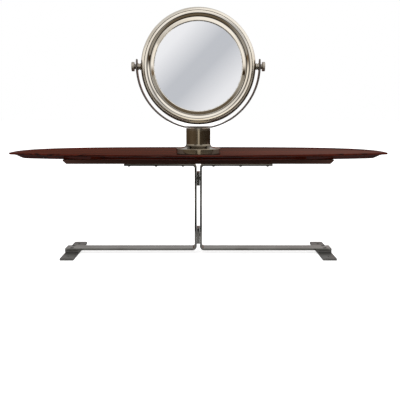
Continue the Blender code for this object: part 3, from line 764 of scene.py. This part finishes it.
def bezel():
    """The front ring: a lip by the glass, a hollow, a crisp groove and a flat land."""
    low, high, outer = forward("mirror_bezel")
    seat = extent("mirror_glass").x / 2 + 1 * MM
    corners = [
        (GLASS_SEEN, OVER_GLASS, 0.1 * MM),
        (GLASS_SEEN, high - 0.9 * MM, 0.3 * MM),
        (GLASS_SEEN + 0.9 * MM, high - 0.05 * MM, 0.5 * MM),
        (HOLLOW_RADIUS - 1.6 * MM, high - HOLLOW_DEPTH + 0.4 * MM, 1.4 * MM),
        (HOLLOW_RADIUS, high - HOLLOW_DEPTH, 0.8 * MM),
        (HOLLOW_RADIUS + 1.7 * MM, high - HOLLOW_DEPTH + 0.55 * MM, 1.4 * MM),
        (LAND_RADIUS, high, 2.0 * MM),
        (outer - 0.1 * MM, high - 0.05 * MM, 1.4 * MM),
        (outer, low, 0.3 * MM),
        (seat, low, 0.1 * MM),
        (seat, OVER_GLASS, 0.1 * MM),
    ]
    made = turned("front_ring", corners, "polished", PIVOT, FRONT, steps=FINE, easing=5)
    stand_in(made, "head", "mirror_bezel")


def glass():
    """The mirror glass, with ground edges."""
    back, front, radius = forward("mirror_glass")
    corners = [
        (0.0, back, 0.0),
        (radius, back, 0.4 * MM),
        (radius, front, 0.8 * MM),
        (0.0, front, 0.0),
    ]
    made = turned("glass", corners, "glass", PIVOT, FRONT, steps=FINE, ring=False)
    stand_in(made, "head", "mirror_glass")


def back_cover():
    """A spun cover: flat edge, faint crease and shallow dome."""
    back, front, edge = forward("back_cover")
    flange = back + DOME_DEPTH
    dome = arc(0, 0, 1.0, 90, 10, 10)
    outer = [(DOME_RADIUS * u, flange - DOME_DEPTH * v) for u, v in dome]
    inner = [(DOME_RADIUS * u, front - DOME_DEPTH * v) for u, v in reversed(dome)]
    corners = [
        *sharp(outer),
        (CREASE_RADIUS, flange + 0.1 * MM, 0.6 * MM),
        (FLAT_RADIUS, flange, 0.6 * MM),
        (edge, flange, 0.5 * MM),
        (edge, front, 0.3 * MM),
        (CREASE_RADIUS, front, 0.6 * MM),
        *sharp(inner),
    ]
    made = turned("back_cover_fine", corners, "cover", PIVOT, FRONT, steps=FINE, ring=False)
    hole = plain_hole(BACK_SCREW_HOLE, -8 * MM, 8 * MM)
    holes = []
    for number in range(1, 5):
        centre = middle(f"back_screw_{number}")
        place = Vector((centre.x, STEM_Y - flange, centre.z))
        holes.append((hole, place, BACK))
    drilled(made, holes)
    stand_in(made, "head", "back_cover")


def knob(side, aim):
    """A thumb knob: knurled disc with eased edges, a turned face and a neck."""
    inner, outer, radius = outward(f"knob_{side}")
    disc = outer - KNOB_DISC
    corners = [
        (0.0, outer - 0.6 * MM, 0.0),
        (radius - 3.6 * MM, outer - 0.5 * MM, 0.3 * MM),
        (radius - 3.0 * MM, outer, 0.4 * MM),
        (radius, outer, 1.1 * MM),
        (radius, disc, 1.1 * MM),
        (KNOB_NECK + 1.2 * MM, disc, 0.5 * MM),
        (KNOB_NECK, disc - 0.6 * MM, 0.5 * MM),
        (KNOB_NECK, inner, 0.3 * MM),
        (STUD_BORE, inner, 0.2 * MM),
        (STUD_BORE, KNOB_BORE_END, 0.0),
        (0.0, KNOB_BORE_END, 0.0),
    ]

    def knurl(angle, at_radius):
        depth = KNURL_DEPTH if at_radius > radius - 0.25 * MM else 0.0
        return 1.0 - depth * (0.5 - 0.5 * math.cos(KNURLS * angle))

    made = turned(
        f"knob_{side}_fine", corners, "knob", PIVOT, aim, steps=KNURL_STEPS, ring=False, wobble=knurl
    )
    stand_in(made, f"knob_{side}", f"knob_{side}")


def boss(side, aim):
    """The spacing collar between drum and yoke, with a turned waist."""
    inner, outer, radius = outward(f"pivot_boss_{side}")
    mid = (inner + outer) / 2
    corners = [
        (STUD_BORE, inner, 0.1 * MM),
        (radius, inner, 0.4 * MM),
        (radius, mid - 1.1 * MM, 0.4 * MM),
        (radius - BOSS_WAIST, mid - 0.7 * MM, 0.3 * MM),
        (radius - BOSS_WAIST, mid + 0.7 * MM, 0.3 * MM),
        (radius, mid + 1.1 * MM, 0.4 * MM),
        (radius, outer, 0.4 * MM),
        (STUD_BORE, outer, 0.1 * MM),
    ]
    made = turned(f"pivot_boss_{side}_fine", corners, "knob", PIVOT, aim)
    stand_in(made, "head", f"pivot_boss_{side}")


def mirror_head():
    rim()
    bezel()
    glass()
    back_cover()
    for number in range(1, 5):
        round_screw(f"back_screw_{number}", BACK_SCREW, BACK, "head")
    for side in SIDES:
        knob(*side)
        boss(*side)


# ---------------- yoke and pedestal


def yoke():
    """A bent strip: round tips, straight ends, a bow and a flat seat."""
    low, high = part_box("yoke")
    radius = (high.x - low.x) / 2 - YOKE_THICKNESS / 2
    half = (high.y - low.y) / 2
    seat = PIVOT.z - low.z - YOKE_THICKNESS / 2
    seat_angle = math.degrees(math.asin(seat / radius))
    tip_top = high.z - PIVOT.z
    right = []
    for degrees in (86, 76, 66, 56, 46, 36, 26, 16, 8):
        a = math.radians(degrees)
        right.append((radius, tip_top * math.sin(a), half * math.cos(a)))
    right += [(x, z, half) for x, z in arc(0, 0, radius, 0, -seat_angle, 60)]
    stations = right + [(-x, z, width) for x, z, width in reversed(right)]
    stations = [(x, z + PIVOT.z, width) for x, z, width in stations]
    made = strip("yoke_strip", stations, YOKE_THICKNESS, 1.5 * MM, "strip")
    screw_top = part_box("swivel_screw")[1].z
    holes = [(countersink(SWIVEL_SINK, 2 * MM, 8 * MM), STEM + UP * screw_top, UP)]
    for _, aim in SIDES:
        holes.append((plain_hole(STUD_BORE, -8 * MM, 8 * MM), PIVOT + aim * radius, aim))
    drilled(made, holes)
    stand_in(made, "yoke", "yoke")


def pedestal():
    """Flange, hollow curve and straight tube in one turned piece."""
    low, high, flange_radius = upright("pedestal")
    flange_top = low + FLANGE_HEIGHT
    cove_height = flange_top + COVE_LIFT + COVE_RADIUS
    curve = arc(TUBE_RADIUS + COVE_RADIUS, cove_height, COVE_RADIUS, 180, 262, 16)
    corners = [
        (TUBE_BORE, high, 0.3 * MM),
        (TUBE_RADIUS, high, 0.35 * MM),
        *sharp(curve),
        (flange_radius, flange_top, 1.0 * MM),
        (flange_radius, low, 0.4 * MM),
        (TUBE_BORE, low, 0.3 * MM),
    ]
    made = turned("pedestal_body", corners, "pedestal", STEM, UP, steps=FINE, easing=5)
    drilled(made, [(plain_hole(GRUB_HOLE, -6 * MM, 6 * MM), middle("grub_screw"), BACK)])
    stand_in(made, "frame", "pedestal")


def collar(node, inner, eases, finish, body, steps=MEDIUM, holes=()):
    """A turned ring of rectangular section for a CAD node; eases round its corners, in mm."""
    low, high, outer = upright(node)
    places = ((inner, low), (outer, low), (outer, high), (inner, high))
    corners = [(*place, ease * MM) for place, ease in zip(places, eases)]
    made = turned(node + "_fine", corners, finish, STEM, UP, steps)
    if holes:
        drilled(made, holes)
    stand_in(made, body, node)


def post_tube():
    """The sliding tube: solid at the top, turned down at its lower end."""
    low, high, radius = upright("post_tube")
    neck = low + POST_NECK
    corners = [
        (POST_SCREW_BORE, high, 0.1 * MM),
        (radius, high, 0.2 * MM),
        (radius, neck, 0.2 * MM),
        (radius - POST_NECK_STEP, neck, 0.1 * MM),
        (radius - POST_NECK_STEP, low, 0.2 * MM),
        (POST_BORE, low, 0.1 * MM),
        (POST_BORE, high - POST_HEAD, 0.1 * MM),
        (POST_SCREW_BORE, high - POST_HEAD, 0.1 * MM),
    ]
    tube = turned("post_tube_fine", corners, "satin", STEM, UP)
    stand_in(tube, "post", "post_tube")


def post():
    """The telescopic post, its cap, the nylon bush that guides it and the felt below."""
    collar("post_cap", POST_SCREW_BORE, (0.1, 0.3, 0.7, 0.1), "pedestal", "post", FINE)
    post_tube()
    bore = upright("post_tube")[2] + GAP
    grub = (plain_hole(GRUB_HOLE, -6 * MM, 6 * MM), middle("grub_screw"), BACK)
    collar("guide_bush", bore, (0.2, 0.2, 0.3, 0.6), "nylon", "frame", holes=[grub])
    sunk_screw("swivel_screw", SWIVEL_SCREW, UP, "post")
    collar("base_gasket", TUBE_BORE, (0.2, 0.4, 0.4, 0.2), "felt", "frame")


# ---------------- shelf


def shelf_outline(inset, height, size):
    """The outline moved inward: a shallow bow in front, a superellipse behind."""
    half_length, front, back = size
    half = half_length - 1.8 * inset
    front = front - inset
    back = back - inset
    power = 2 / SHELF_BACK_POWER
    points = []
    steps = 150
    for i in range(steps):
        a = math.pi * i / steps
        reach = math.copysign(abs(math.cos(a)) ** power, math.cos(a))
        points.append((half * reach, SHELF_TIP_FROM_STEM + back * math.sin(a) ** power, height))
    steps = 90
    for i in range(steps):
        u = -math.cos(math.pi * i / steps)
        bow = (1 - u * u) ** SHELF_FRONT_POWER
        points.append((half * u, SHELF_TIP_FROM_STEM - front * bow, height))
    return points


def shelf():
    """A shallow tray: thin rounded lip, recessed floor, and an underside cut back in an S curve."""
    low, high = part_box("shelf_board")
    thick = high.z - low.z
    tip = STEM_Y + SHELF_TIP_FROM_STEM
    size = ((high.x - low.x) / 2, tip - low.y, high.y - tip)
    corners = [
        (UNDERCUT, 0.0, 0.5 * MM),
        (UNDERCUT - 4 * MM, 0.9 * MM, 3.0 * MM),
        (9.0 * MM, LIP_HEIGHT - 1.8 * MM, 3.0 * MM),
        (0.9 * MM, LIP_HEIGHT - 1.2 * MM, 0.9 * MM),
        (0.0, LIP_HEIGHT, 0.9 * MM),
        (0.0, thick, 1.5 * MM),
        (LIP_WIDTH - 0.9 * MM, thick, 0.9 * MM),
        (LIP_WIDTH, thick - TRAY_DEPTH, 1.0 * MM),
        (LIP_WIDTH + 8 * MM, thick - TRAY_DEPTH, 0.0),
    ]
    levels = rounded(corners, closed=False, steps=5)
    rings = [shelf_outline(inset, height, size) for inset, height in levels]
    made = lofted("shelf", rings, "rosewood", STEM + UP * low.z, sharp_angle=40)
    stand_in(made, "frame", "shelf_board")


# ---------------- bracket


def bar_stations(sign, reach, flange_reach, low, high):
    """Middle line of one bent bar: base, stem, then the flange under the shelf."""
    half = extent("bracket_bar_left").y / 2
    stem_x = STEM_GAP / 2 + BAR_THICKNESS / 2
    bend_x = stem_x + BAR_BEND
    line = [(reach, low), (reach - BAR_EASE, low), (reach - 30 * MM, low)]
    line += arc(bend_x, low + BAR_BEND, BAR_BEND, -90, -180, 12)
    line += arc(bend_x, high - BAR_BEND, BAR_BEND, 180, 90, 12)
    line += [(flange_reach - BAR_EASE, high), (flange_reach, high)]
    return [(sign * x, z, half) for x, z in line]


def bar(side, aim):
    """One bent bar, drilled for its foot screws, flange screws and rivets."""
    low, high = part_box(f"bracket_bar_{side}")
    reach = max(abs(low.x), abs(high.x))
    flange_reach = abs(middle(f"flange_screw_{side}_3").x) + FLANGE_PAST_SCREW
    half_thick = BAR_THICKNESS / 2
    stations = bar_stations(aim.x, reach, flange_reach, low.z + half_thick, high.z - half_thick)
    made = strip(f"bar_{side}", stations, BAR_THICKNESS, 0.55 * MM, "steel")
    holes = []
    for end in ("front", "back"):
        node = f"foot_screw_{side}_{end}"
        sink = countersink(FOOT_SINK, 2 * MM, 20 * MM)
        holes.append((sink, over(node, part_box(node)[1].z), UP))
    for number in (1, 2, 3):
        hole = plain_hole(FLANGE_SCREW_HOLE, -10 * MM, 10 * MM)
        holes.append((hole, over(f"flange_screw_{side}_{number}", high.z), UP))
    rivet_end = STEM_GAP / 2 + BAR_THICKNESS - 0.2 * MM + GAP
    for number in range(1, 5):
        centre = middle(f"stem_rivet_{number}")
        place = Vector((aim.x * rivet_end, centre.y, centre.z))
        holes.append((countersink(RIVET_SINK, 2 * MM, 8 * MM), place, aim))
    drilled(made, holes)
    stand_in(made, "frame", f"bracket_bar_{side}")


def rivets():
    """Flush rivets with lightly domed, hammered ends."""
    for number in range(1, 5):
        node = f"stem_rivet_{number}"
        half = extent(node).x / 2
        head = extent(node).z / 2
        corners = [
            (0.0, -half, 0.0),
            (head, 0.25 * MM - half, 0.3 * MM),
            (RIVET_SHANK, head - RIVET_SHANK - half, 0.3 * MM),
            (RIVET_SHANK, half - head + RIVET_SHANK, 0.3 * MM),
            (head, half - 0.25 * MM, 0.3 * MM),
            (0.0, half, 0.0),
        ]
        made = turned(node + "_fine", corners, "steel", middle(node), RIGHT, steps=SMALL, ring=False)
        stand_in(made, "frame", node)


def foot_plate(side):
    """A flat plate with square front corners, rounded back corners and two fixing holes."""
    low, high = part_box(f"foot_plate_{side}")
    half = (high.x - low.x) / 2
    centre = (low.x + high.x) / 2
    front = low.y - STEM_Y
    back = high.y - STEM_Y
    thick = high.z - low.z
    corners = [
        (-half, front, 0.8 * MM),
        (half, front, 0.8 * MM),
        (half, back, FOOT_CORNER),
        (-half, back, FOOT_CORNER),
    ]
    rings = []
    levels = (
        (FOOT_EASE, 0.0),
        (0.0, FOOT_EASE),
        (0.0, thick - FOOT_EASE),
        (0.3 * FOOT_EASE, thick - 0.3 * FOOT_EASE),
        (FOOT_EASE, thick),
    )
    for inset, height in levels:
        ring = []
        for x, y in rounded(corners, steps=8):
            ring.append((x * (1 - inset / half), y - math.copysign(inset, y), height))
        rings.append(ring)
    made = lofted(f"foot_plate_{side}_fine", rings, "feet", Vector((centre, STEM_Y, low.z)))
    behind = Vector((centre, STEM_Y + FIXING_BEHIND, high.z))
    ahead = Vector((centre, STEM_Y - FIXING_AHEAD, high.z))
    holes = [
        (countersink(FIXING_SINK, 1 * MM, 8 * MM), behind, UP),
        (plain_hole(FIXING_HOLE, -8 * MM, 1 * MM), ahead, UP),
    ]
    for end in ("front", "back"):
        hole = plain_hole(FOOT_SCREW_HOLE, -8 * MM, 8 * MM)
        holes.append((hole, over(f"foot_screw_{side}_{end}", high.z), UP))
    drilled(made, holes)
    stand_in(made, "frame", f"foot_plate_{side}")


def bracket():
    for side, aim in SIDES:
        bar(side, aim)
        foot_plate(side)
        for end in ("front", "back"):
            sunk_screw(f"foot_screw_{side}_{end}", FOOT_SCREW, UP, "frame")
        for number in (1, 2, 3):
            round_screw(f"flange_screw_{side}_{number}", FLANGE_SCREW, DOWN, "frame")
    rivets()
    for number in range(1, 5):
        round_screw(f"pedestal_screw_{number}", PEDESTAL_SCREW, DOWN, "frame")


# ---------------- carried-over nodes

CARRIED = {
    "steel": ("upper_spacer", "lower_spacer"),
    "feet": ("foot_block_left", "foot_block_right"),
    "dark_wood": ("shelf_batten",),
    "screw": ("grub_screw", "post_circlip", "pivot_stud_left", "pivot_stud_right"),
    "nylon": ("guide_ring", "swivel_washer"),
    "felt": ("glass_felt",),
    "hardboard": ("backing_disc",),
    "fibre": ("fibre_washer_left", "fibre_washer_right"),
}
EASED = {
    "upper_spacer": 0.3 * MM,
    "lower_spacer": 0.3 * MM,
    "foot_block_left": 0.5 * MM,
    "foot_block_right": 0.5 * MM,
    "shelf_batten": 0.8 * MM,
}


def carried_over():
    """CAD nodes whose shape is right get their finish, and bevels where an edge shows."""
    for finish, names in CARRIED.items():
        for name in names:
            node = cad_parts[name]
            node.data.materials.clear()
            node.data.materials.append(FINISH[finish])
    for name, width in EASED.items():
        eased(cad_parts[name], width)


# ---------------- stage, light and camera


def card(name, corners, finish):
    """A flat card of the studio, which isn't part of the object."""
    mesh = bpy.data.meshes.new(name)
    mesh.from_pydata(corners, [], [tuple(range(len(corners)))])
    mesh.materials.append(finish)
    made = bpy.data.objects.new(name, mesh)
    bpy.context.scene.collection.objects.link(made)
    return made


def level(half_x, front, back, z):
    return [(-half_x, front, z), (half_x, front, z), (half_x, back, z), (-half_x, back, z)]


def glow(name, shade, strength):
    """A grey that also gives off white light of its own."""
    made, _, inputs = principled(name, Roughness=0.9)
    inputs["Base Color"].default_value = (shade, shade, shade, 1)
    inputs["Emission Color"].default_value = (1, 1, 1, 1)
    inputs["Emission Strength"].default_value = strength
    return made


def floor():
    """A white floor for the eye, and under the object a pale sheet that it reflects and is lit by."""
    white = glow("floor_white", 0.9, 0.75)
    ground = card("floor", level(FLOOR_HALF, -FLOOR_HALF, FLOOR_HALF, 0.0), white)
    ground.visible_glossy = False
    ground.visible_diffuse = False
    below = level(SHEET_HALF_X, STEM_Y - SHEET_AHEAD, SHEET_BACK, -0.2 * MM)
    sheet = card("white_sheet", below, glow("sheet_white", 0.5, 0.12))
    sheet.visible_camera = False
    sheet.visible_shadow = False


def round_ramp(graph, around, *stops):
    """A ramp once round the tent. stops are (azimuth in degrees, grey or colour)."""
    return graph.ramp(around, *[((azimuth + 180) / 360, shade) for azimuth, shade in stops])


def tent_sides(graph, around):
    """Brightness just above the horizon, going round from the back through the front."""
    return round_ramp(
        graph,
        around,
        (-180, SIDE_BACK),
        (-150, (0.09, 0.04, 0.03)),
        (-128, 0.6),
        (-100, 0.9),
        (-45, 1.05),
        (-36, 0.3),
        (-17, 0.2),
        (-13.5, 1.0),
        (13.5, 1.0),
        (17, 0.2),
        (36, 0.3),
        (45, 1.0),
        (100, 1.0),
        (128, 0.8),
        (150, SIDE_WARM),
        (168, SIDE_WARM),
        (180, SIDE_BACK),
    )


def tent_ground(graph, around, azimuth, height):
    """Colour below the horizon: for the first five degrees brown, with one pale stripe ahead.

    Lower still it is brown, then nearly black ahead with one pale bar, and grey to the sides."""
    far = round_ramp(
        graph,
        around,
        (-180, FAR_BACK),
        (-155, (0.12, 0.09, 0.06)),
        (-120, (0.14, 0.105, 0.07)),
        (-60, (0.2, 0.15, 0.1)),
        (-20, (0.14, 0.1, 0.06)),
        (-7, (0.1, 0.08, 0.05)),
        (-1, FAR_STRIPE),
        (8, FAR_STRIPE),
        (15, (0.08, 0.055, 0.03)),
        (60, (0.04, 0.025, 0.012)),
        (150, (0.05, 0.035, 0.025)),
        (180, FAR_BACK),
    )
    low = graph.math("DIVIDE", graph.plus(height, 90.0), 90.0)
    deep = ((0.3, GROUND_DARK), (0.42, GROUND_BROWN), (0.65, GROUND_BROWN))
    bar_ahead = (
        (0.78, GROUND_DARK),
        (0.885, GROUND_DARK),
        (0.895, GROUND_PALE),
        (0.9, GROUND_PALE),
        (0.908, GROUND_DARK),
    )
    ahead = graph.ramp(low, *deep, *bar_ahead)
    beside = graph.ramp(low, *deep, (0.82, GROUND_GREY))
    front = graph.clamp_range(graph.math("ABSOLUTE", azimuth), 10.0, 18.0, 1.0, 0.0)
    behind = graph.clamp_range(graph.math("ABSOLUTE", azimuth), 95.0, 135.0)
    around_front = graph.mix(front, beside, ahead)
    near = graph.mix(graph.times(behind, 0.85), around_front, GROUND_DARK)
    return graph.mix(graph.clamp_range(height, -5.4, -4.6), near, far)


def tent_ceiling(graph, around, height):
    """Share of the pale ceiling, which starts higher in front than at the sides and the back."""
    start = round_ramp(
        graph,
        around,
        (-160, 0.13),
        (-120, 0.2),
        (-50, 0.28),
        (50, 0.28),
        (120, 0.2),
        (160, 0.13),
    )
    above = graph.minus(height, graph.times(start, 90.0))
    return graph.clamp_range(above, 0.0, 3.0)


def tent_front(graph, azimuth, height):
    """A soft diagonal shade across the small window straight ahead, seen in the mirror glass."""
    across = graph.minus(azimuth, graph.minus(height, 4.0))
    place = graph.math("DIVIDE", graph.plus(across, 10.0), 20.0)
    shade = graph.ramp(
        place,
        (0.08, (0.95, 0.95, 0.96)),
        (0.25, (0.88, 0.88, 0.9)),
        (0.45, (0.55, 0.565, 0.6)),
        (0.55, (0.55, 0.565, 0.6)),
        (0.75, (0.84, 0.84, 0.86)),
        (0.92, (0.94, 0.94, 0.95)),
    )
    wide = graph.clamp_range(graph.math("ABSOLUTE", azimuth), 5.5, 8.5, 1.0, 0.0)
    high = graph.clamp_range(height, 9.5, 12.0, 1.0, 0.0)
    return graph.mix(graph.times(wide, high), (1.0, 1.0, 1.0), shade)


def tent_light(graph):
    """Colour of the light tent in each direction.

    Pale walls and ceiling, two grey flags beside a bright window ahead, brown and black below."""
    x, y, z = graph.split(graph.add("TexCoord", {}, output=0))
    radians = graph.math("ARCTAN2", x, graph.times(y, -1.0))
    azimuth = graph.times(radians, 180 / math.pi)
    height = graph.times(graph.math("ARCSINE", z), 180 / math.pi)
    around = graph.math("DIVIDE", graph.plus(azimuth, 180.0), 360.0)
    ceiling = tent_ceiling(graph, around, height)
    overhead = round_ramp(
        graph,
        around,
        (-165, 0.6),
        (-50, 0.65),
        (-15, 1.0),
        (120, 1.0),
        (165, 0.6),
    )
    upper = graph.mix(ceiling, tent_sides(graph, around), overhead)
    shade = tent_front(graph, azimuth, height)
    values = {0: 1.0, 6: upper, 7: shade}
    upper = graph.add("Mix", values, output=2, data_type="RGBA", blend_type="MULTIPLY")
    aside = graph.clamp_range(graph.math("ABSOLUTE", azimuth), 25.0, 45.0)
    highest = graph.plus(graph.times(aside, 7.0), -0.4)
    horizon = graph.clamp_range(height, -2.0, highest)
    return graph.mix(horizon, tent_ground(graph, around, azimuth, height), upper)


def tent():
    """A light tent as the world: white to the eye, graded to the metal."""
    world = bpy.data.worlds.new("tent")
    bpy.context.scene.world = world
    world.use_nodes = True
    tree = world.node_tree
    tree.nodes.clear()
    graph = Graph(tree)
    lit = graph.add("Background", {"Color": tent_light(graph), "Strength": 1.0})
    seen = graph.add("Background", {"Color": (1, 1, 1, 1), "Strength": 1.0})
    to_eye = graph.add("LightPath", {})
    mixed = graph.add("MixShader", {0: to_eye, 1: lit, 2: seen})
    output = tree.nodes.new("ShaderNodeOutputWorld")
    tree.links.new(mixed, output.inputs[0])


def softbox(name, place, target, width, height, power):
    """A soft light that shapes the wood and isn't mirrored in the metal."""
    data = bpy.data.lights.new(name, "AREA")
    data.shape = "RECTANGLE"
    data.size = width
    data.size_y = height
    data.energy = power
    made = bpy.data.objects.new(name, data)
    bpy.context.scene.collection.objects.link(made)
    made.location = place
    made.rotation_euler = (Vector(target) - Vector(place)).to_track_quat("-Z", "Y").to_euler()
    made.visible_glossy = False


def lights():
    softbox("key", place=(-0.9, -1.3, 1.7), target=(0, STEM_Y, 0.25), width=1.2, height=1.0, power=14)
    softbox("fill", place=(1.3, -1.0, 1.2), target=(0, STEM_Y, 0.2), width=1.0, height=1.0, power=6)


def camera():
    data = bpy.data.cameras.new("camera")
    data.lens = LENS
    data.sensor_width = SENSOR
    made = bpy.data.objects.new("camera", data)
    bpy.context.scene.collection.objects.link(made)
    made.location = (CAMERA_X, STEM_Y - CAMERA_AHEAD, CAMERA_HEIGHT)
    made.rotation_euler = (math.radians(90 - CAMERA_PITCH), 0, 0)
    bpy.context.scene.camera = made


def studio():
    floor()
    tent()
    lights()
    camera()
    bpy.context.scene.view_settings.view_transform = "Standard"


mirror_head()
yoke()
pedestal()
post()
shelf()
bracket()
carried_over()
studio()
